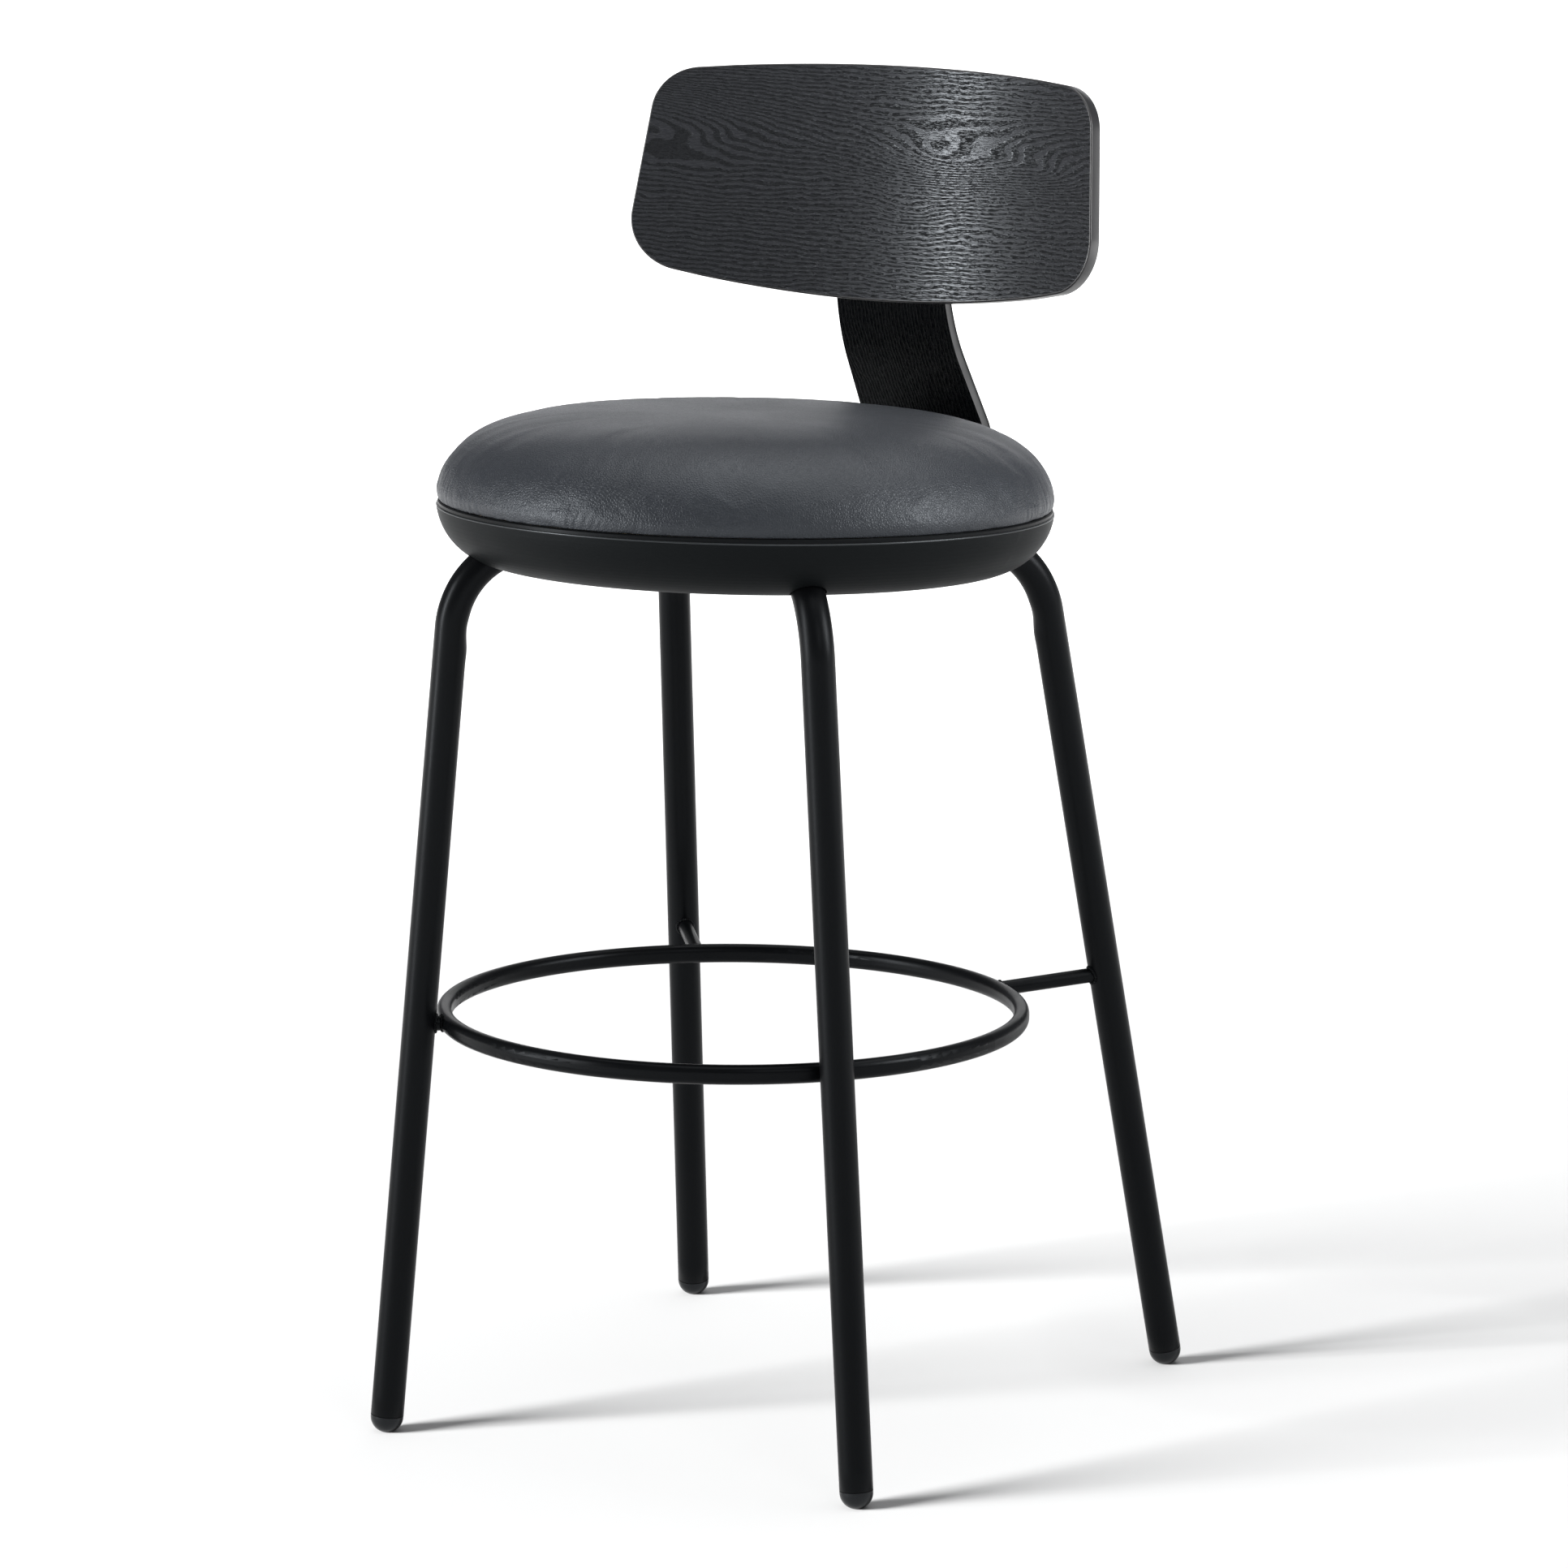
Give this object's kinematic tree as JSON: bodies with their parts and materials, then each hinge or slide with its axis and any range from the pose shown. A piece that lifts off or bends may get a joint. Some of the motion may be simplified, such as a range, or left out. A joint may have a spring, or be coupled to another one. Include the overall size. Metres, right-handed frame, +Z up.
{
  "type": "bar stool",
  "caption": "Counter stool with a round padded seat, tubular splayed legs, a round footrest ring and a small curved wooden backrest on a single bent spine.",
  "frame": {"origin": "on the floor, under the middle of the stool's bounding box", "axes": "+Z up, -Y towards the front where the sitter faces, X sideways; the stool is symmetric about X = 0"},
  "size_m": [0.409, 0.4822, 0.895],
  "materials": {
    "frame_powder_coat": "satin",
    "glide_plastic": "satin",
    "seat_leather": "satin",
    "seat_foam": "matte",
    "birch_plywood": "matte",
    "trim_plastic": "satin",
    "shell_plastic": "matte",
    "zinc_steel": "satin",
    "black_veneer": "satin",
    "black_screws": "satin"
  },
  "bodies": {
    "root": {"seat_cover": "seat_leather", "seat_foam": "seat_foam", "seat_board": "birch_plywood", "trim_ring": "trim_plastic", "seat_shell": "shell_plastic", "shell_screws": "zinc_steel", "board_tee_nuts": "zinc_steel", "hub_plate": "frame_powder_coat", "hub_bolts": "zinc_steel", "leg_front_left": "frame_powder_coat", "leg_front_right": "frame_powder_coat", "leg_rear_left": "frame_powder_coat", "leg_rear_right": "frame_powder_coat", "glide_front_left": "glide_plastic", "glide_front_right": "glide_plastic", "glide_rear_left": "glide_plastic", "glide_rear_right": "glide_plastic", "foot_ring": "frame_powder_coat", "ring_stub_front_left": "frame_powder_coat", "ring_stub_front_right": "frame_powder_coat", "ring_stub_rear_left": "frame_powder_coat", "ring_stub_rear_right": "frame_powder_coat", "back_spine": "black_veneer", "spine_clamp_plate": "frame_powder_coat", "spine_bolts": "zinc_steel", "back_panel": "black_veneer", "panel_screws": "black_screws", "panel_inserts": "zinc_steel"}
  },
  "joints": []
}
